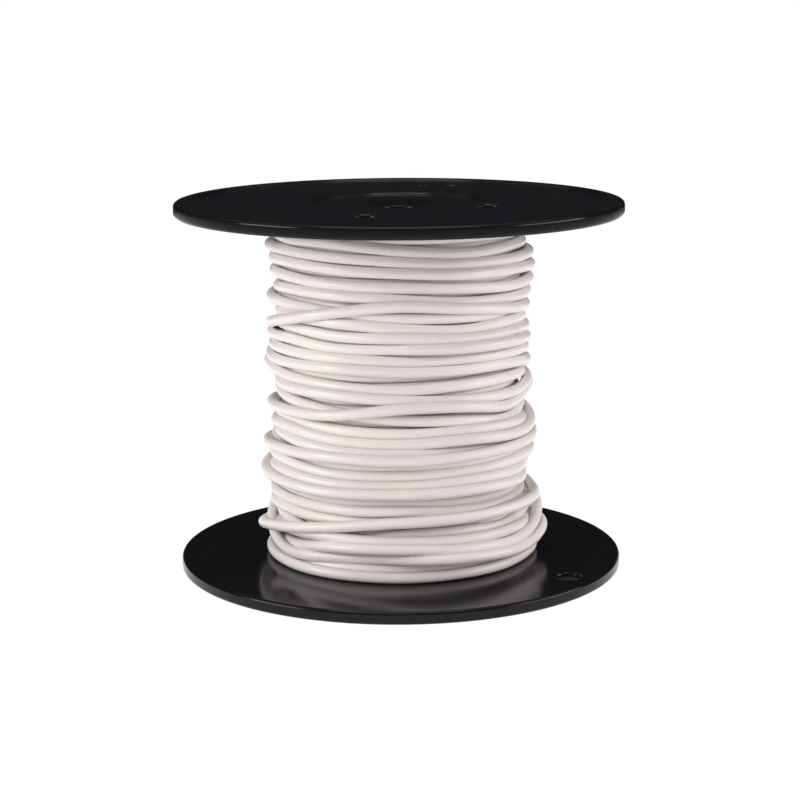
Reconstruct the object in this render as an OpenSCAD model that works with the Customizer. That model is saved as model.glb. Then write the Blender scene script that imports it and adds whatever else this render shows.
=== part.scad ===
// Wire spool: two moulded flanges on a hub barrel, wound with insulated wire.
// The spool stands on its lower flange. Z is the spindle axis and z = 0 is the floor.

/* [Flanges] */
// Outside diameter of each flange
flange_d = 114.3; // [104:0.1:130]
// Thickness of a flange at its rim
rim_t = 3.2; // [3:0.1:5]
// Width of the raised rim on a flange's outer face
rim_w = 2.9; // [2.2:0.1:5]
// Height of the raised rim over the outer face
rim_rise = 0.5; // [0.2:0.1:0.8]
// Rounding of the rim's outer corners
rim_round = 0.8; // [0.3:0.1:1.2]
// Diameter of the sunk round of the outer face over the hub
recess_d = 44.2; // [42:0.1:52]
// Depth of that sunk round
recess_depth = 0.5; // [0.2:0.1:0.7]
// Diameter of the funnel round the spindle bore
funnel_d = 18.8; // [14:0.1:24]
// Depth of the funnel below the sunk round
funnel_depth = 1.1; // [0.5:0.1:1.4]

/* [Barrel] */
// Distance between the flanges' inner faces
traverse = 88.2; // [80:0.1:110]
// Outside diameter of the barrel
barrel_d = 38.1; // [34:0.1:40]
// Wall of the barrel's outer tube
barrel_wall = 1.8; // [1.4:0.1:3]
// Diameter of the spindle bore
spindle_d = 9.7; // [6:0.1:12]
// Wall of the spindle tube in the barrel
spindle_wall = 1.6; // [1.2:0.1:2.2]
// Number of webs between the barrel and its spindle tube
webs = 4; // [3:1:5]
// Thickness of a web
web_t = 1.6; // [1:0.1:2.4]
// Depth of the groove in each flange that takes the barrel's end
groove_depth = 0.8; // [0.4:0.1:1]
// Radial clearance of the barrel's end in its groove
groove_clear = 0.1; // [0.05:0.01:0.2]

/* [Holes in the flanges] */
// Diameter of the start hole, the drive hole and the lower flange's tie hole
hole_d = 6.35; // [4:0.05:7]
// Diameter of the upper tie hole
tie_hole_d = 4.8; // [4:0.05:7]
// Chamfer on both edges of each hole
hole_edge = 0.4; // [0.2:0.1:0.6]
// Distance from the barrel's surface to the upper start hole's edge
start_hole_gap = 1.8; // [1:0.1:3]
// Direction of the upper start hole
start_hole_angle = -21.6; // [-180:0.1:180]
// Distance of the upper drive hole from the axis
drive_hole_r = 30.5; // [29:0.1:36]
// Direction of the upper drive hole
drive_hole_angle = -105.4; // [-180:0.1:180]
// Distance of the upper tie hole from the axis
tie_hole_r = 42; // [38:0.1:45]
// Direction of the upper tie hole
tie_hole_angle = 70; // [-180:0.1:180]
// Distance of the lower flange's tie hole from the flange's edge
rim_hole_inset = 7; // [7:0.1:12]
// Direction of the lower flange's tie hole
rim_hole_angle = -33.5; // [-180:0.1:180]
// Diameter of the moulding gate's dimple in the outer face
gate_d = 3.4; // [2:0.1:5]
// Distance of the gate's dimple from the axis
gate_r = 39.4; // [38:0.1:42]
// Direction of the gate's dimple
gate_angle = 80; // [-180:0.1:180]

/* [Wire] */
// Outside diameter of the insulated wire
wire_d = 2.8; // [2.4:0.05:3.2]
// Layers of wire under the outer one
inner_layers = 4; // [2:1:4]
// How far each layer of wire sinks between the turns below
layer_sink = 0.13; // [0:0.01:0.37]
// Turns of the outer winding
turns = 24; // [16:1:24]
// Turns at its end that come back over the layer
return_turns = 3; // [1:1:3]
// Clearance between crossing turns of the outer winding
turn_clear = 0.5; // [0.45:0.05:0.9]
// Clearance between the end turns and the flanges
end_clear = 0.3; // [0.1:0.1:1]
// Diameter of one copper strand
strand_d = 0.36; // [0.2:0.01:0.4]
// Depth of the insulation's open bore at a cut end
cut_depth = 5; // [3:0.5:8]
// How far the strands stand out of a cut end
strand_out = 0.4; // [0:0.1:2]

/* [Hidden] */

BLACK = [0.09, 0.09, 0.1];
INK = [0.14, 0.14, 0.15];
CREAM = [0.9, 0.87, 0.84];
COPPER = [0.78, 0.45, 0.28];

flange_r = flange_d / 2;
barrel_r = barrel_d / 2;
spindle_r = spindle_d / 2;
wire_r = wire_d / 2;
height = traverse + 2 * rim_t;
low_face = rim_t;
high_face = rim_t + traverse;
start_hole_r = barrel_r + start_hole_gap + hole_d / 2;
rim_hole_r = flange_r - rim_hole_inset;

// Flange levels, measured inwards from the rim's crest
face_z = rim_rise;
recess_z = face_z + recess_depth;
funnel_z = recess_z + funnel_depth;
draft = 0.3;
rim_inner_round = 0.8 * rim_rise;
gate_depth = 0.25;
// How far a cut runs past the face it opens
cut_over = 1;

// Winding: the inner layers as one sleeve, the outer layer as one laid tube
wound_clear = 0.05;
core_clear = 0.1;
layer_step = wire_d - layer_sink;
core_r = barrel_r + wound_clear + inner_layers * layer_step;
sides = 6;
rings = 24;
step = 360 / rings;
lay_r = (core_r + core_clear + wire_r) / cos(step / 2);
first_z = high_face - end_clear - wire_r;
lay_turns = turns - return_turns;
// The turn that strays back over the turns before it, how far, and its share of a place
stray_turn = round(0.28 * lay_turns);
stray_slots = 2;
stray_share = 0.45;
last_slot = lay_turns - 1 + stray_share;
pitch = (traverse - 2 * end_clear - wire_d) / last_slot;
clear_d = wire_d + turn_clear;
back = 90;
// Share of a turn, centred on the front, in which the wire steps to its next place
step_share = 0.5;
// Places that the wire comes back by in the first half turn of its return, and in each turn after
first_slots = 3.1;
return_slots = 3.43;
return_total = first_slots + return_slots * (return_turns - 0.5);

// Climb from the layer below, where the outer layer begins
climb_slope = 35;
climb_length = 13;
climb_lead = wire_r;

// Finish end: it goes back under the last turn and a little past it, but not onto the flange
tuck_rings = 4;
tuck_past = 0.7;
tuck_short = 0.3;
tuck_slots = min(return_slots + tuck_past, return_total - tuck_short);
tuck_length = 6;

// Start end, through the barrel's wall
start_drop = 9;
start_hole_clear = 0.4;
bend_r = 2 * wire_d;
start_run = 16;
bend_inset = 0.3;
bend_start_r = barrel_r - barrel_wall - bend_inset;
start_seat_r = sqrt(pow(barrel_r + wound_clear, 2) - wire_r * wire_r);

// Strands: one in the middle, six round it and twelve round those
strand_pitch = strand_d + 0.01;
conductor_r = 2 * strand_pitch + strand_d / 2;
conductor_clear = 0.03;

function arc(c, r, from, to, n = 6) =
    [for (i = [0:n]) let (a = from + (to - from) * i / n) c + r * [cos(a), sin(a)]];

function polar(r, a, z) = [r * cos(a), r * sin(a), z];

function unit(v) = v / norm(v);

// ---------- Flanges and barrel ----------

function flange_outline() = concat(
    [[spindle_r, funnel_z], [funnel_d / 2, recess_z], [recess_d / 2, recess_z]],
    [[recess_d / 2 + draft, face_z], [flange_r - rim_w - draft, face_z]],
    arc([flange_r - rim_w + rim_inner_round, rim_inner_round], rim_inner_round, 180, 270),
    arc([flange_r - rim_round, rim_round], rim_round, -90, 0),
    arc([flange_r - rim_round, rim_t - rim_round], rim_round, 0, 90),
    [[barrel_r + groove_clear, rim_t], [barrel_r + groove_clear, rim_t - groove_depth]],
    [[barrel_r - barrel_wall - groove_clear, rim_t - groove_depth]],
    [[barrel_r - barrel_wall - groove_clear, rim_t], [spindle_r, rim_t]]);

// A round hole through a flange, chamfered where it meets both faces
module flange_hole(r, a, d) {
    translate(polar(r, a, 0)) {
        translate([0, 0, -cut_over])
            cylinder(d = d, h = rim_t + 2 * cut_over, $fn = 48);
        translate([0, 0, face_z - cut_over])
            cylinder(d1 = d + 2 * (hole_edge + cut_over), d2 = d, h = hole_edge + cut_over, $fn = 48);
        translate([0, 0, rim_t - hole_edge])
            cylinder(d1 = d, d2 = d + 2 * (hole_edge + cut_over), h = hole_edge + cut_over, $fn = 48);
    }
}

module flange(holes) {
    difference() {
        rotate_extrude($fn = 180)
            polygon(flange_outline());
        for (h = holes)
            flange_hole(h[0], h[1], h[2]);
        translate(polar(gate_r, gate_angle, face_z - cut_over))
            cylinder(d = gate_d, h = cut_over + gate_depth, $fn = 32);
    }
}

module upper_flange() {
    color(BLACK)
        translate([0, 0, height])
            mirror([0, 0, 1])
                flange([[start_hole_r, start_hole_angle, hole_d], [drive_hole_r, drive_hole_angle, hole_d],
                    [tie_hole_r, tie_hole_angle, tie_hole_d]]);
}

module lower_flange() {
    color(BLACK)
        flange([[rim_hole_r, rim_hole_angle, hole_d]]);
}

module tube(r, wall, z, h) {
    translate([0, 0, z])
        rotate_extrude($fn = 96)
            translate([r - wall, 0])
                square([wall, h]);
}

start_z = high_face - start_drop;

module barrel() {
    web_in = spindle_r + spindle_wall / 2;
    web_out = barrel_r - barrel_wall / 2;
    color(INK)
        difference() {
            union() {
                tube(barrel_r, barrel_wall, low_face - groove_depth, traverse + 2 * groove_depth);
                tube(spindle_r + spindle_wall, spindle_wall, low_face, traverse);
                for (i = [0:webs - 1])
                    rotate([0, 0, back + 360 * (i + 0.5) / webs])
                        translate([web_in, -web_t / 2, low_face])
                            cube([web_out - web_in, web_t, traverse]);
            }
            rotate([0, 0, back])
                translate([bend_start_r - cut_over, 0, start_z])
                    rotate([0, 90, 0])
                        cylinder(r = wire_r + start_hole_clear,
                            h = barrel_r + 2 * cut_over - bend_start_r, $fn = 48);
        }
}

// ---------- Path of the outer winding ----------

function ease(f) = f * f * (3 - 2 * f);

function stepped(f) = ease(max(0, min(1, (f - 0.5) / step_share + 0.5)));

function stray(v) = stray_share * ease(v) - stray_slots * pow(sin(180 * v), 2);

// Places that the wire has come back by, v turns after it began to
function come_back(v) =
    v > 0.5 ? first_slots + return_slots * (v - 0.5) :
    let (f = 2 * v) first_slots * ease(f) - return_slots / 2 * f * f * (1 - f);

// Place across the layer after u turns, counted down from the upper flange
function slot_at(u) =
    let (n = floor(u), laid = n + stepped(u - n))
    u > lay_turns ? last_slot - come_back(u - lay_turns) :
    n < stray_turn ? laid :
    n > stray_turn ? laid - 1 + stray_share : n + stray(u - n);

function lay_z(i) = first_z - pitch * slot_at(i / rings);

// Anticlockwise from the back, seen from above
function lay_angle(i) = back + step * i;

ring_n = turns * rings;
lay_zs = [for (i = [0:ring_n]) lay_z(i)];

// Tucked end: it leaves the last turn and goes back towards the flange under the turn before
tuck_z0 = lay_z(ring_n);
tuck_zs = [for (k = [0:tuck_rings + 1]) tuck_z0 - pitch * tuck_slots * ease(min(1, k / tuck_rings))];

// Least height between two wires between one ring and the next
function nearest(a, b) = a * b <= 0 ? 0 : min(abs(a), abs(b));

function over(gap, r) = gap >= clear_d ? lay_r : r + sqrt(clear_d * clear_d - gap * gap);

// Radius that ring i needs to clear the wire z-list zs and radius-list rs at its ring j
function lift(z0, z1, z2, zs, rs, j) =
    let (a = max(j - 1, 0), b = min(j + 1, len(rs) - 1))
    over(min(nearest(z1 - zs[j], z0 - zs[a]), nearest(z1 - zs[j], z2 - zs[b])),
        max(rs[a], rs[j], rs[b]));

function around(i) = [lay_zs[max(i - 1, 0)], lay_zs[i], lay_zs[min(i + 1, ring_n)]];

function laid(i, rs) =
    let (z = around(i))
    max([lay_r, for (j = [i - rings:-rings:0]) lift(z[0], z[1], z[2], lay_zs, rs, j)]);

function lay(to, i = 0, rs = []) = i > to ? rs : lay(to, i + 1, concat(rs, [laid(i, rs)]));

under_n = ring_n - rings;
under_rs = lay(under_n);

// The tucked end lies on the layer, over whatever turns are there
function tuck_lift(k) =
    let (z0 = tuck_zs[max(k - 1, 0)], z1 = tuck_zs[k], z2 = tuck_zs[min(k + 1, tuck_rings)])
    max([lay_r, for (j = [k + (turns - 2) * rings:-rings:0])
        lift(z0, z1, z2, lay_zs, under_rs, j)]);

tuck_rs = [for (k = [0:tuck_rings]) tuck_lift(k)];

// The last turn lies on the layer and over the tucked end
function last_turn(i, rs) =
    let (z = around(i), k = i - under_n, bare = laid(i, rs))
    k > tuck_rings ? bare : max(bare, lift(z[0], z[1], z[2], tuck_zs, tuck_rs, k));

function lay_last(i, rs) = i > ring_n ? rs : lay_last(i + 1, concat(rs, [last_turn(i, rs)]));

lay_rs = lay_last(under_n + 1, under_rs);

lay_points = [for (i = [0:ring_n]) polar(lay_rs[i], lay_angle(i), lay_zs[i])];

// Straight ends, one wire diameter long
join_dir = polar(1, back + 90, 0);
lay_start = lay_points[0] - wire_d * join_dir;
leave_dir = unit(lay_points[ring_n] - lay_points[ring_n - 1]);
lay_end = lay_points[ring_n] + wire_d * leave_dir;
turn_path = concat([lay_start], lay_points, [lay_end]);

// ---------- Swept wire ----------

// One ring of points square to the path at point i
function ring(path, i, r, n) =
    let (t = unit(path[min(i + 1, len(path) - 1)] - path[max(i - 1, 0)]),
        out = [path[i][0], path[i][1], 0],
        u = unit(out - (out * t) * t),
        v = cross(t, u))
    [for (k = [0:n - 1]) path[i] + r * (cos(360 * k / n) * u + sin(360 * k / n) * v)];

function band(i, n) = [for (k = [0:n - 1]) each
    [[i * n + k, i * n + (k + 1) % n, (i + 1) * n + k],
    [i * n + (k + 1) % n, (i + 1) * n + (k + 1) % n, (i + 1) * n + k]]];

function cap(i, n, flip) = [for (k = [1:n - 2])
    flip ? [i * n, i * n + k + 1, i * n + k] : [i * n, i * n + k, i * n + k + 1]];

module sweep(path, r, n) {
    last = len(path) - 1;
    polyhedron([for (i = [0:last]) each ring(path, i, r, n)],
        concat(cap(0, n, false), [for (i = [0:last - 1]) each [for (f = band(i, n)) [f[0], f[2], f[1]]]],
            cap(last, n, true)));
}

// Least gap of the winding to itself, on the rings and halfway between them
no_gap = 9 * wire_d;
mid_points = [for (i = [0:ring_n]) each i < ring_n ?
    [lay_points[i], (lay_points[i] + lay_points[i + 1]) / 2] : [lay_points[i]]];
function least_gap(p) = min([for (i = [0:len(p) - 1])
    min([no_gap, for (m = [1:3], e = [-3:3])
        let (j = i + 2 * rings * m + e) if (j < len(p)) norm(p[i] - p[j])])]) - wire_d;

echo(least_gap_mm = least_gap(mid_points), largest_r = max(lay_rs) + wire_r,  // wire_outer_turns
        wire_m = 2 * PI * traverse / wire_d * (inner_layers + 1)
            * (barrel_r + wire_r + layer_step * inner_layers / 2) / 1000);

// ---------- Wire ----------

module along(from, dir) {
    translate(from)
        rotate([0, acos(dir[2]), atan2(dir[1], dir[0])])
            children();
}

module wire_inner_layers() {
    color(CREAM)
        union() {
            tube(core_r, core_r - barrel_r - wound_clear, low_face + core_clear,
                traverse - 2 * core_clear);
            climb();
        }
}

// The wire's climb out of the sleeve to where the outer layer begins
module climb() {
    knee = lay_start - climb_lead * join_dir;
    along(lay_start, -join_dir)
        cylinder(r = wire_r, h = climb_lead, $fn = 24);
    translate(knee)
        sphere(r = wire_r, $fn = 24);
    along(knee, -polar(sin(climb_slope), back, 0) - cos(climb_slope) * join_dir)
        cylinder(r = wire_r, h = climb_length, $fn = 24);
}

module wire_outer_turns() {
    color(CREAM)
        sweep(turn_path, wire_r, sides);
}

tuck_points = [for (k = [1:tuck_rings]) polar(tuck_rs[k], lay_angle(ring_n + k), tuck_zs[k])];
tuck_dir = unit(tuck_points[tuck_rings - 1] - tuck_points[tuck_rings - 2]);
tuck_tip = tuck_points[tuck_rings - 1] + tuck_length * tuck_dir;

module wire_finish_end() {
    color(CREAM)
        difference() {
            sweep(concat([lay_end, lay_end + wire_r * leave_dir], tuck_points, [tuck_tip]), wire_r, 12);
            along(tuck_tip + cut_over * tuck_dir, -tuck_dir)
                cylinder(r = conductor_r + conductor_clear, h = cut_depth + cut_over, $fn = 24);
        }
}

start_tip_z = start_z - bend_r - start_run;
start_tip_r = bend_start_r - bend_r;

module wire_start_end() {
    color(CREAM)
        rotate([0, 0, back])
            difference() {
                union() {
                    translate([bend_start_r, 0, start_z])
                        rotate([0, 90, 0])
                            cylinder(r = wire_r, h = start_seat_r - bend_start_r, $fn = 24);
                    translate([bend_start_r, 0, start_z - bend_r])
                        rotate([90, 0, 0])
                            rotate([0, 0, 90])
                                rotate_extrude(angle = 90, $fn = 64)
                                    translate([bend_r, 0])
                                        circle(r = wire_r, $fn = 24);
                    translate([start_tip_r, 0, start_tip_z])
                        cylinder(r = wire_r, h = start_run, $fn = 24);
                }
                translate([start_tip_r, 0, start_tip_z - cut_over])
                    cylinder(r = conductor_r + conductor_clear, h = cut_depth + cut_over, $fn = 24);
            }
}

// The strands of one cut end, from the tip back into the insulation
module strands() {
    for (ring_i = [0:2])
        for (k = [0:max(0, 6 * ring_i - 1)])
            rotate([0, 0, 60 * k / max(1, ring_i)])
                translate([strand_pitch * ring_i, 0, -strand_out])
                    cylinder(d = strand_d, h = cut_depth + strand_out, $fn = 16);
}

module copper_strands() {
    color(COPPER) {
        along(tuck_tip, -tuck_dir)
            strands();
        rotate([0, 0, back])
            translate([start_tip_r, 0, start_tip_z])
                strands();
    }
}

upper_flange();
lower_flange();
barrel();
wire_inner_layers();
wire_outer_turns();
wire_start_end();
wire_finish_end();
copper_strands();
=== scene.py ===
"""Wire spool: the pieces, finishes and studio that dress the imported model."""

import math

import bmesh
import bpy
import mathutils.geometry
import numpy as np
from mathutils import Matrix, Vector


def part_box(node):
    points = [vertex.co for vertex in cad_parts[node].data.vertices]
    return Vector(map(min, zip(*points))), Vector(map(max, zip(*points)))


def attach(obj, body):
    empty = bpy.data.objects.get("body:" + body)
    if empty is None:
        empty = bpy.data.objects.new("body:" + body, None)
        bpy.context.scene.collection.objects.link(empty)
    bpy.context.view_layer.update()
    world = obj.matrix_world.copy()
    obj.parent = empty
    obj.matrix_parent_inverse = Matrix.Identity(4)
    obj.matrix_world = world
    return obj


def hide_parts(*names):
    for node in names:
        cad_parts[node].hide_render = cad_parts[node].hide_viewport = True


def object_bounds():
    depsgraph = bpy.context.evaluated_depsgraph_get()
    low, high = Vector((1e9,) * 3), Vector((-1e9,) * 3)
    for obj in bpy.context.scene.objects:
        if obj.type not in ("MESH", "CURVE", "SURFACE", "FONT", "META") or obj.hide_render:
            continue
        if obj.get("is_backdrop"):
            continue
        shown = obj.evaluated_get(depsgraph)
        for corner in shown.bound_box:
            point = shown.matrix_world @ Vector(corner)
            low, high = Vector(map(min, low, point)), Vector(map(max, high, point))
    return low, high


bl_info = {
    "name": "Wire Spool",
    "version": (1, 0, 0),
    "blender": (4, 5, 0),
    "location": "View3D > Sidebar > Wire Spool",
    "description": "Moulded spool wound with insulated wire",
    "category": "Add Mesh",
}

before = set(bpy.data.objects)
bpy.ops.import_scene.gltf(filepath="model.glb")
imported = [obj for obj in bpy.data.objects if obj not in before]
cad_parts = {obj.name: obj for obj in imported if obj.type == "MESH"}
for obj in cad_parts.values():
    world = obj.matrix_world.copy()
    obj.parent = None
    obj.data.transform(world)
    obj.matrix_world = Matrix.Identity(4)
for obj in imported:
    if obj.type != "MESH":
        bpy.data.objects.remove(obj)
MODEL_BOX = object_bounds()
MM = 0.001
NEAR = 0.02 * MM  # how far a point may lie from the place where it is looked for
HOLE_SIDES, ROUND_SIDES, RIM_SIDES = 72, 96, 288  # corners of holes, sleeves and flanges
MOULDED_ANGLE, WIRE_ANGLE = 35, 50  # edges up to this many degrees are shaded smooth


def span(node):
    """Lowest and highest corner of a node, in metres."""
    low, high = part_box(node)
    return Vector(low), Vector(high)


LOWER_LOW, LOWER_HIGH = span("lower_flange")
_, UPPER_HIGH = span("upper_flange")

# Holes of each flange: distance from the axis in mm, direction in degrees, diameter in mm
HOLES = {
    "upper_flange": ((24.025, -21.6, 6.35), (30.5, -105.4, 6.35), (42, 70, 4.8)),
    "lower_flange": ((50.15, -33.5, 6.35),),
}
# The moulding gate's dimple: distance from the axis and direction, then its own size
GATE_PLACE, GATE_RADIUS, GATE_DEPTH = (39.4 * MM, 80), 1.7 * MM, 0.25 * MM
GATE_ROUND, GATE_FOOT_ROUND = 0.2 * MM, 0.12 * MM
# Roundings of the steps of a flange's outer face, from the rim in to the bore
RIM_STEP_ROUND, RIM_FOOT_ROUND = 0.28 * MM, 0.15 * MM
RECESS_ROUND, RECESS_FOOT_ROUND = 0.16 * MM, 0.14 * MM
FUNNEL_ROUND, BORE_ROUND, BORE_END_ROUND = 0.45 * MM, 0.4 * MM, 0.25 * MM


# ---------- Sizes and colours ----------


def length(name, description, default):
    """A size in metres that a user may change."""
    return bpy.props.FloatProperty(
        name=name, description=description, default=default, min=0, precision=5,
        subtype="DISTANCE", unit="LENGTH")


def colour(name, description, default):
    """A colour that a user may change."""
    return bpy.props.FloatVectorProperty(
        name=name, description=description, default=default, size=3, min=0, max=1,
        subtype="COLOR")


class FlangeSizes(bpy.types.PropertyGroup):
    """Sizes of the two moulded flanges."""

    radius: length("Radius", "Outside radius of a flange", LOWER_HIGH.x)
    thickness: length("Thickness", "Thickness at the rim", LOWER_HIGH.z - LOWER_LOW.z)
    rim_width: length("Rim width", "Width of the raised rim on the outer face", 2.9 * MM)
    rim_rise: length("Rim rise", "Height of the raised rim over the outer face", 0.5 * MM)
    rim_round: length("Rim rounding", "Rounding of the rim's outer corners", 0.8 * MM)
    draft: length("Draft", "Slant of each moulded step", 0.3 * MM)
    recess_radius: length("Recess radius", "Radius of the sunk round over the hub", 22.1 * MM)
    recess_depth: length("Recess depth", "Depth of the sunk round", 0.5 * MM)
    funnel_radius: length("Funnel radius", "Radius of the funnel round the bore", 9.4 * MM)
    funnel_depth: length("Funnel depth", "Depth of the funnel", 1.1 * MM)
    bore_radius: length("Bore radius", "Radius of the spindle bore", 4.85 * MM)
    groove_radius: length("Groove radius", "Outside radius of the barrel's groove", 19.15 * MM)
    groove_width: length("Groove width", "Width of the barrel's groove", 2.0 * MM)
    groove_depth: length("Groove depth", "Depth of the barrel's groove", 0.8 * MM)
    hole_round: length("Hole rounding", "Rounding of the edges of the small holes", 0.8 * MM)


class WindingSizes(bpy.types.PropertyGroup):
    """Sizes of the wire and its winding."""

    wire: length("Wire diameter", "Outside diameter of the insulated wire", 2.8 * MM)
    layer_radius: length("Layer radius", "Radius of the layer under the outer turns", 28.5 * MM)
    touch: bpy.props.FloatProperty(
        name="Touch",
        description="Share of a wire's diameter that touching turns keep between their centres",
        default=0.94, min=0.8, max=1, subtype="FACTOR")
    copper: length("Strand diameter", "Diameter of one copper strand", 0.36 * MM)


class SpoolColours(bpy.types.PropertyGroup):
    """Colours of the spool's materials."""

    flange: colour("Flanges", "Glossy moulded plastic of the flanges", (0.006, 0.006, 0.007))
    barrel: colour("Barrel", "Moulded plastic of the barrel", (0.02, 0.02, 0.022))
    insulation: colour("Insulation", "Sheath of the wire", (0.83, 0.757, 0.732))
    copper: colour("Copper", "Bright drawn strands", (0.72, 0.36, 0.2))


class StudioSettings(bpy.types.PropertyGroup):
    """Camera, lamps and floor."""

    camera_place: bpy.props.FloatVectorProperty(
        name="Camera", description="Place of the camera", size=3, default=(0, -0.5282, 0.15235),
        subtype="TRANSLATION", unit="LENGTH")
    camera_fall: bpy.props.FloatProperty(
        name="Camera fall", description="How far the camera looks down",
        default=math.radians(11.734), subtype="ANGLE")
    camera_roll: bpy.props.FloatProperty(
        name="Camera roll", description="Turn of the camera about its view",
        default=-0.0056, subtype="ANGLE")
    lens: bpy.props.FloatProperty(
        name="Lens", description="Focal length on a 36 mm wide sensor", default=93.7,
        unit="CAMERA")
    lamps: bpy.props.FloatProperty(
        name="Lamps", description="Power of the lamps at the left and above", default=1.8, min=0,
        unit="POWER")
    fill: bpy.props.FloatProperty(
        name="Fill", description="Strength of the soft light from all round", default=0.8, min=0)


# ---------- Modelling ----------


def only(piece):
    """Makes a piece the one selected and active object."""
    bpy.ops.object.select_all(action="DESELECT")
    piece.select_set(True)
    bpy.context.view_layer.objects.active = piece
    return piece


def added(name):
    """Names the object that a primitive operator has just made."""
    piece = bpy.context.object
    piece.name = name
    piece.data.name = name
    return piece


class Editing:
    """A piece in edit mode, with nothing selected to start with."""

    def __init__(self, piece):
        self.piece = only(piece)

    def __enter__(self):
        bpy.ops.object.mode_set(mode="EDIT")
        self.clear()
        return self

    def __exit__(self, *problem):
        bpy.ops.object.mode_set(mode="OBJECT")

    def clear(self):
        """Selects nothing."""
        bpy.ops.mesh.select_all(action="DESELECT")

    def select(self, kind, test):
        """Selects what passes the test, and fails where nothing does."""
        bpy.ops.mesh.select_mode(type=kind)
        self.clear()
        mesh = bmesh.from_edit_mesh(self.piece.data)
        found = [part for part in (mesh.faces if kind == "FACE" else mesh.edges) if test(part)]
        if not found:
            raise RuntimeError(f"{self.piece.name} has no {kind.lower()} to select there")
        for part in found:
            part.select_set(True)
        bmesh.update_edit_mesh(self.piece.data)

    def faces(self, test):
        """Selects the faces that pass the test."""
        self.select("FACE", test)

    def edges(self, test):
        """Selects the edges whose two ends pass the test."""
        self.select("EDGE", lambda edge: all(test(v.co) for v in edge.verts))

    def sink(self, inset, depth):
        """Insets what is selected and moves the new face along Z."""
        bpy.ops.mesh.inset(thickness=inset, use_boundary=True)
        if depth:
            bpy.ops.transform.translate(value=(0, 0, depth))

    def push(self, depth):
        """Extrudes what is selected straight along Z."""
        bpy.ops.mesh.extrude_region_move(TRANSFORM_OT_translate={"value": (0, 0, depth)})

    def face_outwards(self):
        """Turns all faces of a closed shape outwards."""
        bpy.ops.mesh.select_all(action="SELECT")
        bpy.ops.mesh.normals_make_consistent(inside=False)

    def round_off(self, test, size, segments):
        """Rounds the edges whose ends pass the test."""
        self.edges(test)
        bpy.ops.mesh.bevel(
            offset=size, segments=segments, profile=0.5, affect="EDGES", clamp_overlap=True)

    def round_ring(self, centre, radius, z, size, segments):
        """Rounds the edges of a circle that lies level at height z."""
        self.round_off(
            lambda p: abs((p.xy - Vector(centre)).length - radius) < NEAR and abs(p.z - z) < NEAR,
            size, segments)


def finish_with(piece, kind, **settings):
    """Adds a modifier to a piece and applies it."""
    only(piece)
    modifier = piece.modifiers.new(kind.title(), kind)
    for name, value in settings.items():
        setattr(modifier, name, value)
    bpy.ops.object.modifier_apply(modifier=modifier.name)


def smooth(piece, degrees):
    """Shades a piece smooth, apart from its sharper edges."""
    only(piece)
    bpy.ops.object.shade_smooth_by_angle(angle=math.radians(degrees))


def polar(radius, degrees, z):
    """A point at a distance and direction from the axis."""
    angle = math.radians(degrees)
    return Vector((radius * math.cos(angle), radius * math.sin(angle), z))


def cylinder(name, sides, radius, depth, place, ends="NGON"):
    """A cylinder along Z, alone selected, with its place in its mesh."""
    bpy.ops.object.select_all(action="DESELECT")
    bpy.ops.mesh.primitive_cylinder_add(
        vertices=sides, radius=radius, depth=depth, end_fill_type=ends, location=place)
    made = added(name)
    bpy.ops.object.transform_apply(location=True, rotation=True, scale=True)
    return made


def cut(piece, drill_bit):
    """Takes the drill bit's form out of a piece."""
    finish_with(piece, "BOOLEAN", object=drill_bit, operation="DIFFERENCE", solver="EXACT")
    bpy.data.objects.remove(drill_bit)


def drill_flared(piece, radius, place, inward, top, bottom, flare):
    """Cuts a round hole whose two edges are rounded, from height top to height bottom."""
    arc = [math.radians(degrees) for degrees in range(0, 91, 15)]
    profile = [(radius + flare * (1 - math.sin(a)), top + inward * flare * (1 - math.cos(a)))
               for a in arc]
    profile[0] = (radius + flare, top - inward * flare / 20)
    profile += [(r, top + bottom - z) for r, z in reversed(profile)]
    profile.append((radius + flare, bottom + inward * MM))
    drill_bit = cylinder(
        "drill_bit", HOLE_SIDES, radius + flare, MM, (*place, top - inward * MM / 2))
    with Editing(drill_bit) as work:
        work.faces(lambda f: f.normal.z * inward > 0.9)
        for (last_r, last_z), (r, z) in zip(profile, profile[1:]):
            work.push(z - last_z)
            bpy.ops.transform.resize(
                value=(r / last_r, r / last_r, 1), center_override=(*place, z))
        work.face_outwards()
    cut(piece, drill_bit)


def fit(piece, material, slot, *nodes):
    """Gives a finished piece its material, and its place in the part."""
    piece.data.materials.clear()
    piece.data.materials.append(material)
    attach(piece, "root")
    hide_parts(*nodes)


def tube(name, points, radius, resolution, twist="Z_UP"):
    """A wire along a list of points, as a mesh."""
    path = bpy.data.curves.new(name, "CURVE")
    path.dimensions = "3D"
    path.twist_mode = twist
    path.bevel_depth = radius
    path.bevel_resolution = resolution
    path.use_fill_caps = True
    spline = path.splines.new("POLY")
    spline.points.add(len(points) - 1)
    spline.points.foreach_set("co", [c for p in points for c in (*p, 1)])
    piece = bpy.data.objects.new(name, path)
    bpy.context.collection.objects.link(piece)
    only(piece)
    bpy.ops.object.convert(target="MESH")
    piece = added(name)
    with Editing(piece) as work:
        bpy.ops.mesh.select_all(action="SELECT")
        bpy.ops.mesh.remove_doubles(threshold=0.001 * MM)
        work.face_outwards()
    smooth(piece, WIRE_ANGLE)
    return piece


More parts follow.
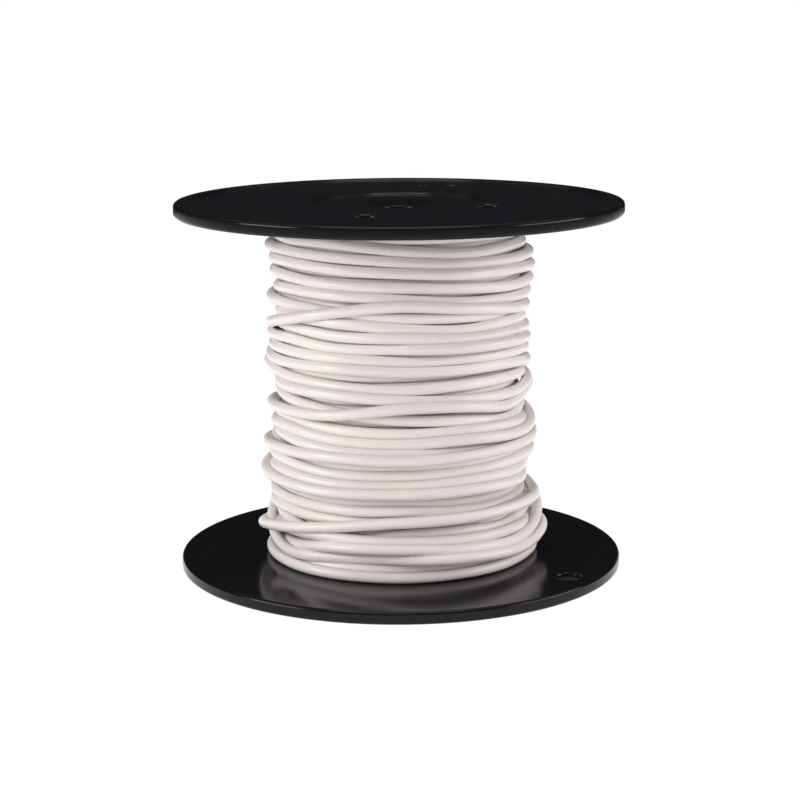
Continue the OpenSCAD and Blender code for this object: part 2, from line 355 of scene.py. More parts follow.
def bore_tip(piece, tip, along, size):
    """Opens the flat end of a wire, down to where its strands begin."""
    with Editing(piece) as work:
        work.faces(
            lambda f: (f.calc_center_median() - tip).length < size.wire / 2
            and f.normal.dot(along) > 0.99)
        bpy.ops.mesh.dissolve_faces()
        bpy.ops.mesh.inset(thickness=size.wire / 2 - BORE_IN_STRANDS * size.copper - LIP)
        bpy.ops.mesh.inset(thickness=LIP)
        bpy.ops.mesh.extrude_region_move(
            TRANSFORM_OT_translate={"value": -CUT_DEPTH * MM * along})
        work.round_off(
            lambda p: abs((p - tip).dot(along)) < NEAR
            and abs((p - tip).length - size.wire / 2) < 2.5 * NEAR, TIP_ROUND, 3)
    smooth(piece, WIRE_ANGLE)


# ---------- Materials ----------


class Value:
    """A shader socket that takes part in sums as a number does."""

    def __init__(self, finish, socket):
        self.finish = finish
        self.socket = socket

    def _sum(self, operation, *others):
        return self.finish.node("ShaderNodeMath", [self, *others], operation=operation)

    def __add__(self, other):
        return self._sum("ADD", other)

    def __mul__(self, other):
        return self._sum("MULTIPLY", other)

    __radd__ = __add__
    __rmul__ = __mul__

    def above(self, limit):
        """The greater of the two."""
        return self._sum("MAXIMUM", limit)


class Finish:
    """A node tree whose nodes are made one at a time."""

    def __init__(self, owner):
        owner.use_nodes = True
        self.tree = owner.node_tree
        self.tree.nodes.clear()

    def node(self, kind, inputs=(), output=0, **settings):
        """Makes a node, sets or links its inputs, and gives one of its outputs."""
        made = self.tree.nodes.new(kind)
        for name, value in settings.items():
            setattr(made, name, value)
        pairs = inputs.items() if isinstance(inputs, dict) else enumerate(inputs)
        for name, value in pairs:
            if isinstance(value, Value):
                self.tree.links.new(value.socket, made.inputs[name])
            else:
                made.inputs[name].default_value = value
        return Value(self, made.outputs[output]) if len(made.outputs) else made

    def place(self):
        """Where on the piece the surface is, in metres."""
        return self.node("ShaderNodeTexCoord", output="Object")

    def noise(self, scale, detail):
        """Cloudy values of about scale clouds to a metre."""
        return self.node("ShaderNodeTexNoise", {
            "Vector": self.place(), "Scale": scale, "Detail": detail, "Roughness": 0.5},
            output="Fac")

    def between(self, amount, low, high):
        """Spreads the middle half of a noise, where most of it lies, over low to high."""
        return self.node("ShaderNodeMapRange", {
            "Value": amount, "From Min": 0.25, "From Max": 0.75, "To Min": low, "To Max": high})

    def blend(self, amount, first, second):
        """A colour between two."""
        return self.node("ShaderNodeMix", {0: amount, 6: (*first, 1), 7: (*second, 1)}, output=2,
                         data_type="RGBA")

    def bump(self, height, distance, strength):
        """Bends the surface's normal by a height."""
        return self.node("ShaderNodeBump", {
            "Height": height, "Distance": distance, "Strength": strength})

    def surface(self, **inputs):
        """Ends the material in one shader with these inputs."""
        named = {name.replace("_", " ").title().replace("Ior", "IOR"): value
                 for name, value in inputs.items()}
        shader = self.node("ShaderNodeBsdfPrincipled", named)
        self.node("ShaderNodeOutputMaterial", {"Surface": shader})


def shade(tint, factor):
    """A colour made darker or lighter."""
    return tuple(min(1.0, part * factor) for part in tint)


def finish_material(name):
    """An empty material and its node tree."""
    material = bpy.data.materials.new(name)
    return material, Finish(material)


def moulded_gloss(tint):
    """Glossy moulded plastic, a little wavy from its mould."""
    material, finish = finish_material("moulded_gloss")
    cloud = finish.noise(55, 3)
    fine = finish.noise(900, 2)
    wave = finish.noise(38, 1)
    finish.surface(
        base_color=finish.blend(cloud, shade(tint, 0.85), shade(tint, 1.2)),
        roughness=finish.between(cloud, 0.12, 0.18),
        specular_ior_level=0.22,
        normal=finish.bump(wave * 0.9 + fine * 0.02, 0.25 * MM, 0.5))
    return material


def moulded_dull(tint):
    """Duller moulded plastic of the barrel."""
    material, finish = finish_material("moulded_dull")
    cloud = finish.noise(70, 3)
    fine = finish.noise(1400, 2)
    finish.surface(
        base_color=finish.blend(cloud, shade(tint, 0.85), shade(tint, 1.25)),
        roughness=finish.between(cloud, 0.4, 0.55),
        normal=finish.bump(fine, 0.05 * MM, 0.5))
    return material


def wire_sheath(tint):
    """Soft sheen of extruded insulation."""
    material, finish = finish_material("wire_sheath")
    cloud = finish.noise(45, 3)
    speck = finish.noise(700, 2)
    finish.surface(
        base_color=finish.blend(cloud, shade(tint, 0.94), shade(tint, 1.03)),
        roughness=finish.between(cloud, 0.26, 0.34),
        normal=finish.bump(speck, 0.05 * MM, 0.3))
    return material


def drawn_copper(tint):
    """Bright drawn copper."""
    material, finish = finish_material("drawn_copper")
    cloud = finish.noise(800, 2)
    finish.surface(
        base_color=finish.blend(cloud, shade(tint, 0.85), shade(tint, 1.1)),
        metallic=1.0,
        roughness=finish.between(cloud, 0.2, 0.35))
    return material


def material_of(maker, tint):
    """One material of each kind, made when it is first asked for."""
    return bpy.data.materials.get(maker.__name__) or maker(tuple(tint))


# ---------- Lay of the wire ----------

# Height of each turn at seven places from left to right across the front, in wire diameters over
# the lower flange, in the order in which the turns were laid. The last three come back up.
TURNS = (
    (30.9, 30.77, 30.63, 30.5, 30.44, 30.31, 30.1),
    (29.9, 29.89, 30.04, 29.49, 29.02, 29.08, 29),
    (28.75, 28.83, 28.69, 28.48, 28.12, 27.97, 27.95),
    (27.6, 27.77, 27.65, 27.47, 27.27, 27.06, 26.8),
    (26.4, 26.5, 26.27, 26.24, 25.9, 25.62, 25.6),
    (25.0, 25.36, 25.43, 25.19, 24.72, 24.47, 24.5),
    (24.05, 24.06, 23.85, 23.59, 23.43, 23.22, 23.15),
    (22.8, 23.14, 23.04, 22.66, 22.31, 22.6, 22.15),
    (21.6, 22.07, 21.81, 21.9, 21.57, 21.68, 21.25),
    (21.5, 22.68, 23.94, 24.72, 24.25, 23.65, 23.2),
    (20.42, 20.89, 20.67, 20.91, 20.94, 20.82, 20.3),
    (19.45, 19.81, 19.86, 19.77, 19.76, 19.57, 19.2),
    (18.5, 18.69, 19.07, 18.83, 18.76, 18.61, 18.05),
    (17.55, 17.44, 17.32, 17.23, 17.38, 17.37, 17),
    (16.5, 16.56, 16.67, 16.4, 16.06, 15.82, 16.2),
    (15.5, 15.36, 14.96, 14.54, 14.24, 13.61, 14.22),
    (13.4, 13.64, 13.43, 13.28, 13.39, 13.29, 12.85),
    (12.5, 12.98, 12.57, 12.47, 12.71, 12.47, 13.1),
    (11.5, 12.06, 11.68, 11.67, 11.51, 11.52, 11.9),
    (10.6, 10.35, 10.27, 10.48, 10.54, 10.81, 10.75),
    (9.65, 9.93, 9.52, 9.55, 9.67, 9.99, 9.78),
    (8.65, 9.08, 8.82, 8.72, 9.03, 9.07, 8.75),
    (7.4, 7.21, 7.19, 7.22, 6.99, 6.9, 6.95),
    (8.7, 8.38, 8.15, 8.22, 8.31, 8.13, 7.75),
    (6.25, 6.15, 6.28, 6.46, 6.18, 6.17, 6.05),
    (5.27, 5.19, 5.23, 5.53, 5.72, 5.98, 5.05),
    (4.3, 4.05, 3.28, 4.13, 4.17, 3.75, 4.3),
    (2.9, 3.62, 3.79, 3.8, 3.63, 3.47, 3.2),
    (1.95, 2.02, 3, 3.27, 2.89, 2.56, 4.04),
    (0.3, 0.5, 0.95, 1.11, 1.03, 0.8, 0.55),
    (0.52, 0.52, 0.52, 0.52, 0.52, 0.52, 0.52),
    (3.6, 1.61, 1.88, 2.26, 2.18, 1.75, 2.44),
    (2.7, 3.92, 4.78, 5.72, 6.03, 6.2, 6),
    (10.4, 10.92, 11.28, 11.18, 11.26, 11.37, 11.3),
    (14.1, 14.45, 14.88, 15.74, 15.57, 14.78, 15.22),
)
PLACES = (-90, -60, -30, 0, 30, 60, 90)
# Heights at the back, where a turn crosses sooner than its neighbours: (turns laid, height)
CROSSINGS = ((10.0, 20.45),)
# Radii that lumps and hollows in the layers below give some turns, in mm: (turn, place, radius)
SEATS = (
    (2, -90, 33.2), (2, 90, 33.2), (3, -90, 32.1), (3, 90, 33.7), (4, -90, 31.9), (4, 90, 33.2),
    (5, -90, 30.8), (5, 90, 32.5), (6, -90, 32.9), (6, 90, 29.3), (7, -90, 30.3), (7, 90, 30.8),
    (8, -90, 30.1), (8, 90, 32.1), (9, -90, 32.7), (10, -90, 30.3), (10, 90, 31.6),
    (11, -90, 31.8), (11, 90, 32.1), (12, -90, 32.9), (12, 90, 32.5), (13, -90, 32.1),
    (14, 90, 32.9), (15, -90, 30.1), (15, 90, 30.8), (16, 90, 29.8), (17, -90, 32.1),
    (17, 90, 32.4), (20, 90, 33.8), (21, -90, 29.7), (21, 90, 31.9), (22, -90, 31.9),
    (22, 90, 29.4), (24, -90, 32.7), (28, 90, 34.5), (30, -90, 33.0), (30, 0, 33.7),
    (30, 90, 34.7), (31, 90, 37.6), (32, -90, 34.7), (32, 90, 33.4), (33, -90, 33.2),
    (33, 90, 34.2), (34, -90, 33.2),
)
RINGS = 96  # rings of the wire's mesh in one turn
BACK = 90.0  # direction in degrees in which each turn begins
FIRST_Z, LAST_Z = 89.7, 53.313  # heights in mm where the outer turns begin and end
LOW_FACE, HIGH_FACE = 3.2, 91.4  # heights in mm of the flanges' inner faces
FACE_GAP = 0.02  # least gap in mm between the outer turns and a flange
# Slow swings of a hand-led wire: how far in mm, how often, and where each one begins
WAVER = ((0.05, 23.7, 0.0), (0.04, 41.3, 1.0))
SEAT_REACH = 0.11  # share of a turn over which a lump or hollow dies away
MEAN_RADIUS = 32  # of the outer turns in mm, for the slope of the wire
ROUNDS, PULLS, SOFTENINGS = 60, 12, 10  # how often the lay is settled, pulled taut and smoothed
# The layer below: its turns, its gap to the flanges, and its climb to the next layer at the end
LAYER_TURNS, LAYER_GAP = 30, 0.1
CLIMB_TURNS, CLIMB = 0.3, 2.9
LIFTED_MOST = 31.0  # greatest radius in mm that this layer is lifted to
SLEEVE_SINK = 0.6 * MM  # how far the sleeve of deeper layers lies inside this layer's middle
BARREL_GAP = 0.05 * MM
# The tucked end: heights in mm every 15 degrees on from the back, and its cut tip
TUCK = ((15, 50.64), (30, 44.75), (45, 38.86), (60, 36.19))
TUCK_KNEE, TUCK_TIP = (-30.181, 17.425, 36.19), (-32.749, 14.073, 34.948)
# The start end inside the barrel: where it comes through the wall, its bend and its cut tip
START_SEAT, START_Z, START_BEND, START_TIP = (19.05, 16.95), 82.4, 5.6, 60.8
# The cut ends, in mm: their depth, how far the strands stand out and stop short of the bottom
CUT_DEPTH, STRAND_OUT, STRAND_END_GAP = 5.0, 0.4, 0.05
BORE_IN_STRANDS = 2.62  # radius of the sheath's bore, in strand diameters
LIP, TIP_ROUND = 0.1 * MM, 0.12 * MM  # slant inside a cut end, and its outer rounding
STRAND_RINGS, STRAND_PITCH = (1, 6, 12), 1.02  # strands in each ring, and their spacing
STRAND_TWIST, STRAND_STEPS = 14, 9  # degrees of twist to a mm, and steps along a strand


def curve_through(knots, values, at):
    """Smooth curve through values at unevenly spaced knots."""
    knots, values = np.asarray(knots), np.asarray(values)
    step = np.diff(knots)
    rise = np.diff(values) / step
    slope = np.empty_like(values)
    slope[0], slope[-1] = rise[0], rise[-1]
    slope[1:-1] = (rise[:-1] * step[1:] + rise[1:] * step[:-1]) / (step[:-1] + step[1:])
    i = np.clip(np.searchsorted(knots, at, side="right") - 1, 0, len(step) - 1)
    f = (at - knots[i]) / step[i]
    return (values[i] * (1 + 2 * f) * (1 - f) ** 2 + values[i + 1] * f * f * (3 - 2 * f)
            + step[i] * f * (1 - f) * (slope[i] * (1 - f) - slope[i + 1] * f))


def turn_heights(wire):
    """Height of the wire's centre at each ring of the outer turns, in mm."""
    knots = {0.0: FIRST_Z, float(len(TURNS)): LAST_Z}
    for number, row in enumerate(TURNS):
        for place, height in zip(PLACES, row):
            knots[number + 0.5 + place / 360] = LOW_FACE + wire * height
    for number, height in CROSSINGS:
        knots[number] = LOW_FACE + wire * height
    order = sorted(knots)
    at = np.arange(len(TURNS) * RINGS + 1) / RINGS
    z = curve_through(order, [knots[number] for number in order], at)
    waver = sum(swing * np.sin(at * rate + start) for swing, rate, start in WAVER)
    waver *= np.clip((at[-1] - at) * 8, 0, 1)
    gap = wire / 2 + FACE_GAP
    return np.clip(z + waver, LOW_FACE + gap, HIGH_FACE - gap)


def tuck_heights():
    """Heights at the rings of the tucked end, after the last turn's."""
    degrees = [0] + [place for place, _ in TUCK]
    at = np.arange(1, RINGS // 8 + 1) * 360 / RINGS
    return curve_through(degrees, [LAST_Z] + [height for _, height in TUCK], at)


def layer_heights(at, wire):
    """Heights of the layer below, whose turns climb the other way."""
    low = LOW_FACE + wire / 2 + LAYER_GAP
    pitch = (HIGH_FACE - LOW_FACE - wire - 2 * LAYER_GAP) / LAYER_TURNS
    return low + pitch * at, pitch


def bedded(z, at, wire, layer_radius, touch):
    """Least radius at which each ring rests on the layer below, in mm."""
    heights, pitch = layer_heights(at % 1, wire)
    gap = (z - heights) % pitch
    gap = np.minimum(gap, pitch - gap)
    bed = layer_radius + np.sqrt(np.maximum((wire * touch) ** 2 - gap * gap, 0))
    for number, place, radius in SEATS:
        middle = number + 0.5 + place / 360
        lump = np.clip(1 - np.abs(at - middle) / SEAT_REACH, 0, 1)
        lump = lump * lump * (3 - 2 * lump)
        bed += lump * (radius - bed[int(round(middle * RINGS))])
    return bed


def taut(radii, passes):
    """A pulled wire cuts straight across between the places that hold it up."""
    near = 1 / radii
    chord = 2 * math.cos(2 * math.pi / RINGS)
    for _ in range(passes):
        near[1:-1] = np.minimum(near[1:-1], (near[:-2] + near[2:]) / chord)
    return 1 / near


def laid_radii(z, wire, layer_radius, touch):
    """Radius of each ring, resting on the layer below and on the turns laid before it.

    The rings after the last turn are the tucked end, which goes under that turn.
    """
    at = np.arange(len(z)) / RINGS
    end = len(TURNS) * RINGS
    bed = bedded(z, at, wire, layer_radius, touch)
    slope = np.gradient(z) * RINGS / (2 * math.pi * MEAN_RADIUS)
    reach = wire * touch
    radii = bed
    for _ in range(ROUNDS):
        need = radii.copy()
        for turns in range(1, len(TURNS) + 1):
            back = turns * RINGS
            tilt = slope[back:] - slope[:-back]
            gap = (z[back:] - z[:-back]) / np.sqrt(1 + tilt * tilt)
            lift = np.sqrt(np.maximum(reach * reach - gap * gap, 0))
            rest = np.where(lift > 0, radii[:-back] + lift, 0)
            if turns == 1:
                tucked = end + 1 - back
                over = np.where(lift > 0, radii[back:] + lift, 0)[tucked:]
                need[tucked:-back] = np.maximum(need[tucked:-back], over)
                rest[tucked:] = 0
            need[back:] = np.maximum(need[back:], rest)
        radii = taut(need, PULLS)
    for _ in range(SOFTENINGS):
        radii[1:-1] = (radii[:-2] + 2 * radii[1:-1] + radii[2:]) / 4
    return radii


def outer_lay(size):
    """Heights and radii of the rings of the outer turns and their tucked end, in mm."""
    wire, layer = size.wire / MM, size.layer_radius / MM
    z = np.concatenate((turn_heights(wire), tuck_heights()))
    return z, laid_radii(z, wire, layer, size.touch)


def lifted(layer_radius, z, places, over_radii, over_z, wire):
    """Radii of the layer below, lifted towards the outer turns where these leave room for it."""
    room = np.full(len(z), LIFTED_MOST)
    for ring, place in enumerate(places):
        near = np.arange(place % RINGS, len(over_z), RINGS)
        gap = np.abs(over_z[near] - z[ring])
        near, gap = near[gap < 1.6 * wire], gap[gap < 1.6 * wire]
        under = over_radii[near] - np.sqrt(np.maximum(wire * wire - gap * gap, (0.1 * wire) ** 2))
        room[ring] = under.min(initial=room[ring])
    room = np.min([np.roll(room, -1), room, np.roll(room, 1)], axis=0)
    room = np.pad(np.maximum(room, layer_radius), 1, "edge")
    return np.convolve(room, np.ones(3) / 3, "valid")


def round_points(radii, z, at):
    """Points in metres after so many turns, anticlockwise from the back seen from above."""
    angle = math.radians(BACK) + 2 * math.pi * at
    return np.column_stack((radii * np.cos(angle), radii * np.sin(angle), z)) * MM


# ---------- Pieces ----------


class SPOOL_OT_flanges(bpy.types.Operator):
    """Moulds the two flanges with their rims, funnels and holes"""

    bl_idname = "spool.flanges"
    bl_label = "Flanges"

    def shape(self, name, size, crest, inward):
        """A flange whose rim's crest is at height crest; inward is +1 for the lower one."""
        thickness, face = size.thickness, size.rim_rise
        recess = face + size.recess_depth
        funnel = recess + size.funnel_depth
        piece = cylinder(
            name, RIM_SIDES, size.radius, thickness, (0, 0, crest + inward * thickness / 2))
        with Editing(piece) as work:
            work.faces(lambda f: f.normal.z * inward < -0.9)
            work.sink(size.rim_width, 0)
            work.sink(size.draft, inward * face)
            work.sink(size.radius - size.rim_width - 2 * size.draft - size.recess_radius, 0)
            work.sink(size.draft, inward * size.recess_depth)
            work.sink(size.recess_radius - size.funnel_radius, 0)
            work.sink(size.funnel_radius - size.bore_radius, inward * size.funnel_depth)
            work.faces(lambda f: f.normal.z * inward > 0.9 and len(f.verts) > 100)
            work.sink(size.radius - size.groove_radius, 0)
            work.push(-inward * size.groove_depth)
            work.sink(size.groove_width, 0)
            work.push(inward * size.groove_depth)
            inner = size.groove_radius - size.groove_width
            work.sink(inner - size.bore_radius, 0)
            work.faces(lambda f: len(f.verts) > 100)
            bpy.ops.mesh.bridge_edge_loops()
            for radius, depth, rounding, segments in (
                    (size.radius, 0, size.rim_round, 7),
                    (size.radius, thickness, size.rim_round, 7),
                    (size.radius - size.rim_width, 0, RIM_STEP_ROUND, 5),
                    (size.radius - size.rim_width - size.draft, face, RIM_FOOT_ROUND, 3),
                    (size.recess_radius + size.draft, face, RECESS_ROUND, 4),
                    (size.recess_radius, recess, RECESS_FOOT_ROUND, 3),
                    (size.funnel_radius, recess, FUNNEL_ROUND, 5),
                    (size.bore_radius, funnel, BORE_ROUND, 5),
                    (size.bore_radius, thickness, BORE_END_ROUND, 4)):
                work.round_ring((0, 0), radius, crest + inward * depth, rounding, segments)
        return piece

    def holes(self, piece, size, crest, inward, places):
        """Drills the small holes through the flange."""
        for radius, degrees, width in places:
            drill_flared(
                piece, width * MM / 2, polar(radius * MM, degrees, 0).xy, inward,
                crest + inward * size.rim_rise, crest + inward * size.thickness, size.hole_round)

    def dimple(self, piece, size, crest, inward):
        """The sunk round that the moulding gate leaves."""
        place = polar(*GATE_PLACE, crest + inward * size.rim_rise)
        cut(piece, cylinder("drill_bit", HOLE_SIDES, GATE_RADIUS, 2 * GATE_DEPTH, place))
        with Editing(piece) as work:
            for rounding, depth in ((GATE_ROUND, 0), (GATE_FOOT_ROUND, GATE_DEPTH)):
                work.round_ring(place.xy, GATE_RADIUS, place.z + inward * depth, rounding, 3)

    def execute(self, context):
        size = context.scene.spool_flanges
        material = material_of(moulded_gloss, context.scene.spool_colours.flange)
        for node, crest, inward in (
                ("upper_flange", UPPER_HIGH.z, -1), ("lower_flange", LOWER_LOW.z, 1)):
            piece = self.shape(f"{node}_moulding", size, crest, inward)
            self.holes(piece, size, crest, inward, HOLES[node])
            self.dimple(piece, size, crest, inward)
            smooth(piece, MOULDED_ANGLE)
            finish_with(piece, "WEIGHTED_NORMAL", keep_sharp=True, weight=60)
            fit(piece, material, "flange_plastic", node)
        return {"FINISHED"}


class SPOOL_OT_barrel(bpy.types.Operator):
    """Gives the hub barrel its moulded plastic"""

    bl_idname = "spool.barrel"
    bl_label = "Barrel"

    def execute(self, context):
        material = material_of(moulded_dull, context.scene.spool_colours.barrel)
        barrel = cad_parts["barrel"]
        barrel.data.materials.clear()
        barrel.data.materials.append(material)
        return {"FINISHED"}


class SPOOL_OT_inner_layers(bpy.types.Operator):
    """Winds the layer that shows between the outer turns, over the layers below it"""

    bl_idname = "spool.inner_layers"
    bl_label = "Inner layers"

    def top_layer(self, size):
        """The layer under the outer turns, which climbs at its end to become the first of them."""
        wire, layer = size.wire / MM, size.layer_radius / MM
        places = np.arange(0, LAYER_TURNS * RINGS + 1, 2)
        at = places / RINGS
        z, _ = layer_heights(at, wire)
        over_z, over_radii = outer_lay(size)
        radii = lifted(layer, z, places, over_radii, over_z, wire)
        climb = np.clip((at - (LAYER_TURNS - CLIMB_TURNS)) / CLIMB_TURNS, 0, 1)
        radii += (layer + CLIMB - radii) * climb * climb * (3 - 2 * climb)
        return tube("inner_layers", round_points(radii, z, at), size.wire / 2, 4)

    def sleeve(self, size):
        """The deeper layers, of which nothing shows."""
        radius = size.layer_radius - SLEEVE_SINK
        wall = radius - span("barrel")[1].x - BARREL_GAP
        sleeve = cylinder(
            "deeper_layers", ROUND_SIDES, radius, (HIGH_FACE - LOW_FACE - 2 * LAYER_GAP) * MM,
            (0, 0, (HIGH_FACE + LOW_FACE) / 2 * MM))
        with Editing(sleeve) as work:
            work.faces(lambda f: abs(f.normal.z) > 0.9)
            bpy.ops.mesh.inset(thickness=wall, use_individual=True)
            bpy.ops.mesh.bridge_edge_loops()
            work.face_outwards()
        smooth(sleeve, MOULDED_ANGLE)
        return sleeve

    def execute(self, context):
        size = context.scene.spool_winding
        piece, sleeve = self.top_layer(size), self.sleeve(size)
        only(piece)
        sleeve.select_set(True)
        bpy.ops.object.join()
        material = material_of(wire_sheath, context.scene.spool_colours.insulation)
        fit(piece, material, "insulation", "wire_inner_layers")
        return {"FINISHED"}


class SPOOL_OT_outer_turns(bpy.types.Operator):
    """Winds the outer turns, each resting on what was wound before it, and tucks their end in"""

    bl_idname = "spool.outer_turns"
    bl_label = "Outer turns"

    def execute(self, context):
        size = context.scene.spool_winding
        z, radii = outer_lay(size)
        end = len(TURNS) * RINGS
        points = round_points(radii, z, np.arange(len(z)) / RINGS)
        sheath = material_of(wire_sheath, context.scene.spool_colours.insulation)
        piece = tube("outer_turns", points[:end + 2], size.wire / 2, 6)
        fit(piece, sheath, "insulation", "wire_outer_turns")
        knee, tip = Vector(TUCK_KNEE) * MM, Vector(TUCK_TIP) * MM
        last = Vector(points[-1])
        along = (tip - knee).normalized()
        pull = 0.4 * (knee - last).length
        tail = mathutils.geometry.interpolate_bezier(
            last, last + pull * (last - Vector(points[-2])).normalized(),
            knee - pull * along, knee, 8)
        route = [Vector(p) for p in points[end + 1:]] + tail[1:]
        route += [knee.lerp(tip, part) for part in (0.25, 0.5, 0.75, 1)]
        piece = tube("finish_end", route, size.wire / 2, 6)
        bore_tip(piece, tip, along, size)
        fit(piece, sheath, "insulation", "wire_finish_end")
        return {"FINISHED"}


class SPOOL_OT_start_end(bpy.types.Operator):
    """Brings the wire's start end through the barrel's wall and down its back cell"""

    bl_idname = "spool.start_end"
    bl_label = "Start end"

    def execute(self, context):
        size = context.scene.spool_winding
        outside, inside = START_SEAT
        route = [Vector((0, y, START_Z)) for y in (outside, (outside + inside) / 2)]
        for degrees in range(90, 181, 6):
            bend = polar(START_BEND, degrees, 0)
            route.append(Vector((0, inside + bend.x, START_Z - START_BEND + bend.y)))
        bottom = route[-1]
        tip = Vector((0, bottom.y, START_TIP))
        route += [bottom.lerp(tip, part / 6) for part in range(1, 7)]
        piece = tube("start_end", [p * MM for p in route], size.wire / 2, 6, "MINIMUM")
        bore_tip(piece, tip * MM, Vector((0, 0, -1)), size)
        sheath = material_of(wire_sheath, context.scene.spool_colours.insulation)
        fit(piece, sheath, "insulation", "wire_start_end")
        return {"FINISHED"}


class SPOOL_OT_strands(bpy.types.Operator):
    """Lays the twisted copper strands into the two cut ends"""

    bl_idname = "spool.strands"
    bl_label = "Copper strands"

    def bundle(self, name, tip, along, size):
        """Nineteen strands, twisted, from a cut tip back into the insulation."""
        turn = along.to_track_quat("Z", "Y")
        gap = size.copper * STRAND_PITCH
        run = STRAND_OUT + CUT_DEPTH - STRAND_END_GAP
        made = []
        for ring, count in enumerate(STRAND_RINGS):
            twist = STRAND_TWIST if ring == len(STRAND_RINGS) - 1 else -STRAND_TWIST
            for number in range(count):
                route = []
                for step in range(STRAND_STEPS + 1):
                    depth = STRAND_OUT - run * step / STRAND_STEPS
                    angle = 360 * number / count + twist * depth
                    route.append(tip + turn @ polar(ring * gap, angle, depth * MM))
                made.append(tube(f"{name}_{ring}_{number}", route, size.copper / 2, 2, "MINIMUM"))
        return made

    def execute(self, context):
        size = context.scene.spool_winding
        tip, knee = Vector(TUCK_TIP) * MM, Vector(TUCK_KNEE) * MM
        start = Vector((0, START_SEAT[1] - START_BEND, START_TIP)) * MM
        made = self.bundle("finish_strand", tip, (tip - knee).normalized(), size)
        made += self.bundle("start_strand", start, Vector((0, 0, -1)), size)
        only(made[0])
        for strand in made:
            strand.select_set(True)
        bpy.ops.object.join()
        piece = added("strands")
        copper = material_of(drawn_copper, context.scene.spool_colours.copper)
        fit(piece, copper, "copper", "copper_strands")
        return {"FINISHED"}


# ---------- Studio ----------

FLOOR_MATT, FLOOR_SHADOW, FLOOR_WHITE = (0.8, 0.8, 0.8, 1), (0.1, 0.1, 0.1, 1), 0.96
CURTAIN_RADIUS, CURTAIN_TALL, CURTAIN_MIDDLE = 0.7, 0.6, 0.31
GLOSS_TINT, GLOSS_GLOW = (0.8, 0.8, 1, 1), 0.018  # what gloss shows of the curtain
SKY_SHARE = 0.45  # strength of the world's light, as a share of the curtain's
LAMP_AIM = (0, 0, 0.05)
# Each lamp: share of the lamps' power, degrees round from the front, distance from the axis,
# height, width and how tall it is
LAMPS = (
    ("top_lamp", 1.0, 0, 0.12, 0.75, 0.6, 0.25),
    ("left_lamp", 1.0, -66, 0.6, 0.22, 0.34, 0.2),
    ("right_lamp", 0.85, 80, 0.6, 0.22, 0.46, 0.2),
)


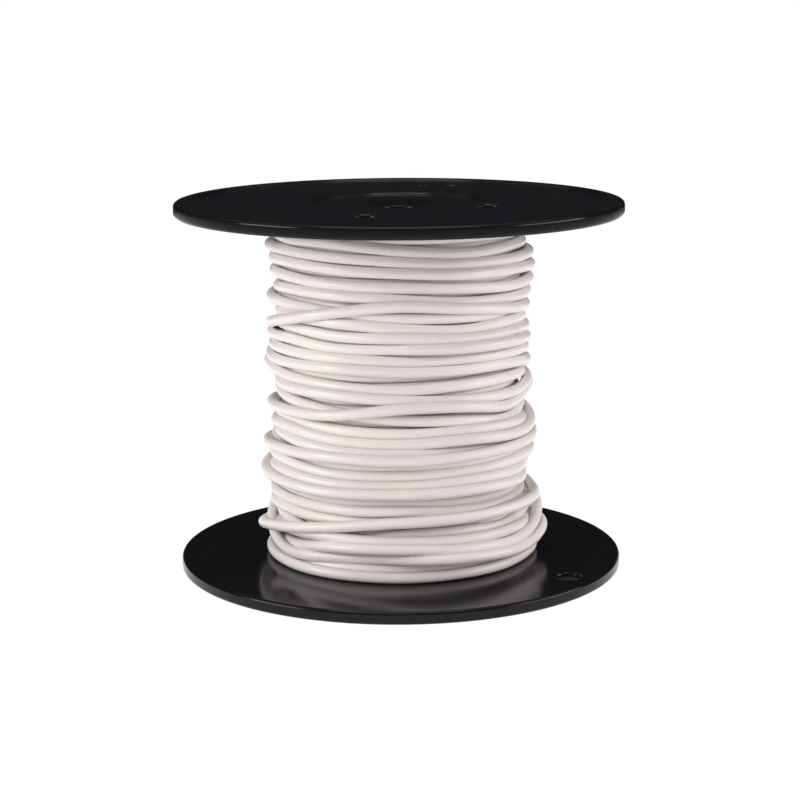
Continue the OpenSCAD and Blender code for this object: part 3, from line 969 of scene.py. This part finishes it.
class SPOOL_OT_studio(bpy.types.Operator):
    """Sets the floor, the lamps, the background and the camera"""

    bl_idname = "spool.studio"
    bl_label = "Studio"

    def seen(self, finish):
        """1 for the camera, and 1 for what gloss and clear things show."""
        paths = finish.tree.nodes.new("ShaderNodeLightPath").outputs
        camera, glossy, clear = (
            Value(finish, paths[name])
            for name in ("Is Camera Ray", "Is Glossy Ray", "Is Transmission Ray"))
        return camera, glossy.above(clear)

    def floor(self):
        """A floor that is matt to the light and pale to whoever looks at it."""
        bpy.ops.object.select_all(action="DESELECT")
        bpy.ops.mesh.primitive_plane_add(size=30, location=(0, 0, 0))
        floor = added("floor")
        material, finish = finish_material("floor")
        camera, glossy = self.seen(finish)
        matt = finish.node("ShaderNodeBsdfDiffuse", {"Color": FLOOR_MATT})
        shadow = finish.node("ShaderNodeBsdfDiffuse", {"Color": FLOOR_SHADOW})
        white = finish.node("ShaderNodeEmission", {"Strength": FLOOR_WHITE})
        shown = finish.node("ShaderNodeAddShader", [shadow, white])
        mixed = finish.node("ShaderNodeMixShader", [camera.above(glossy), matt, shown])
        finish.node("ShaderNodeOutputMaterial", [mixed])
        floor.data.materials.append(material)
        floor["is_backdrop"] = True

    def curtain(self, fill):
        """A curtain round the table that gives soft light, and is dark in what gloss shows."""
        curtain = cylinder(
            "curtain", ROUND_SIDES, CURTAIN_RADIUS, CURTAIN_TALL, (0, 0, CURTAIN_MIDDLE), "NOTHING")
        material, finish = finish_material("curtain")
        camera, glossy = self.seen(finish)
        lit = finish.node("ShaderNodeEmission", {"Strength": fill})
        dark = finish.node("ShaderNodeEmission", {"Color": GLOSS_TINT, "Strength": GLOSS_GLOW})
        white = finish.node("ShaderNodeEmission", {"Strength": 1.0})
        shown = finish.node("ShaderNodeMixShader", [glossy, lit, dark])
        mixed = finish.node("ShaderNodeMixShader", [camera, shown, white])
        finish.node("ShaderNodeOutputMaterial", [mixed])
        curtain.data.materials.append(material)
        curtain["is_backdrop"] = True

    def lamp(self, name, power, degrees, distance, height, width, tall):
        """A soft lamp, so many degrees round from the front, that faces the winding."""
        light = bpy.data.lights.new(name, "AREA")
        light.shape = "RECTANGLE"
        light.size, light.size_y = width, tall
        light.energy = power
        lamp = bpy.data.objects.new(name, light)
        bpy.context.collection.objects.link(lamp)
        place = polar(distance, degrees - 90, height)
        lamp.location = place
        lamp.rotation_euler = (Vector(LAMP_AIM) - place).to_track_quat("-Z", "Y").to_euler()
        lamp.visible_camera = False

    def world(self, context, fill):
        """White to the camera, and soft light from above the curtain."""
        world = bpy.data.worlds.new("studio")
        context.scene.world = world
        finish = Finish(world)
        camera, _ = self.seen(finish)
        strength = finish.node("ShaderNodeMix", {0: camera, 2: fill, 3: 1.0}, data_type="FLOAT")
        sky = finish.node("ShaderNodeBackground", {"Strength": strength})
        finish.node("ShaderNodeOutputWorld", {"Surface": sky})

    def camera(self, context, studio):
        """The camera in front, which looks a little down."""
        view = bpy.data.cameras.new("camera")
        view.lens = studio.lens
        view.sensor_width = 36
        view.clip_start = 0.01
        camera = bpy.data.objects.new("camera", view)
        context.collection.objects.link(camera)
        camera.location = studio.camera_place
        level = Matrix.Rotation(math.radians(90) - studio.camera_fall, 3, "X")
        turn = level @ Matrix.Rotation(studio.camera_roll, 3, "Z")
        camera.rotation_euler = turn.to_euler()
        context.scene.camera = camera

    def execute(self, context):
        studio = context.scene.spool_studio
        self.camera(context, studio)
        self.floor()
        self.curtain(studio.fill)
        self.world(context, studio.fill * SKY_SHARE)
        for name, share, *place_and_size in LAMPS:
            self.lamp(name, studio.lamps * share, *place_and_size)
        context.scene.view_settings.view_transform = "Standard"
        return {"FINISHED"}


class SPOOL_PT_panel(bpy.types.Panel):
    """The steps that dress the spool"""

    bl_idname = "SPOOL_PT_panel"
    bl_label = "Wire Spool"
    bl_space_type = "VIEW_3D"
    bl_region_type = "UI"
    bl_category = "Wire Spool"

    def draw(self, context):
        for step in STEPS:
            self.layout.operator(step.bl_idname)


STEPS = (SPOOL_OT_studio, SPOOL_OT_flanges, SPOOL_OT_barrel, SPOOL_OT_inner_layers,
         SPOOL_OT_outer_turns, SPOOL_OT_start_end, SPOOL_OT_strands)
GROUPS = {"spool_flanges": FlangeSizes, "spool_winding": WindingSizes,
          "spool_colours": SpoolColours, "spool_studio": StudioSettings}


def register():
    for kind in (*GROUPS.values(), *STEPS, SPOOL_PT_panel):
        bpy.utils.register_class(kind)
    for name, group in GROUPS.items():
        setattr(bpy.types.Scene, name, bpy.props.PointerProperty(type=group))


def unregister():
    for name in GROUPS:
        delattr(bpy.types.Scene, name)
    for kind in (SPOOL_PT_panel, *reversed(STEPS), *reversed(GROUPS.values())):
        bpy.utils.unregister_class(kind)


def main():
    register()
    bpy.ops.spool.studio()
    bpy.ops.spool.flanges()
    bpy.ops.spool.barrel()
    bpy.ops.spool.inner_layers()
    bpy.ops.spool.outer_turns()
    bpy.ops.spool.start_end()
    bpy.ops.spool.strands()
    boxes = {"cad": MODEL_BOX, "visual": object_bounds()}
    boxes = {name: [list(corner) for corner in box] for name, box in boxes.items()}


if __name__ == "__main__":
    main()
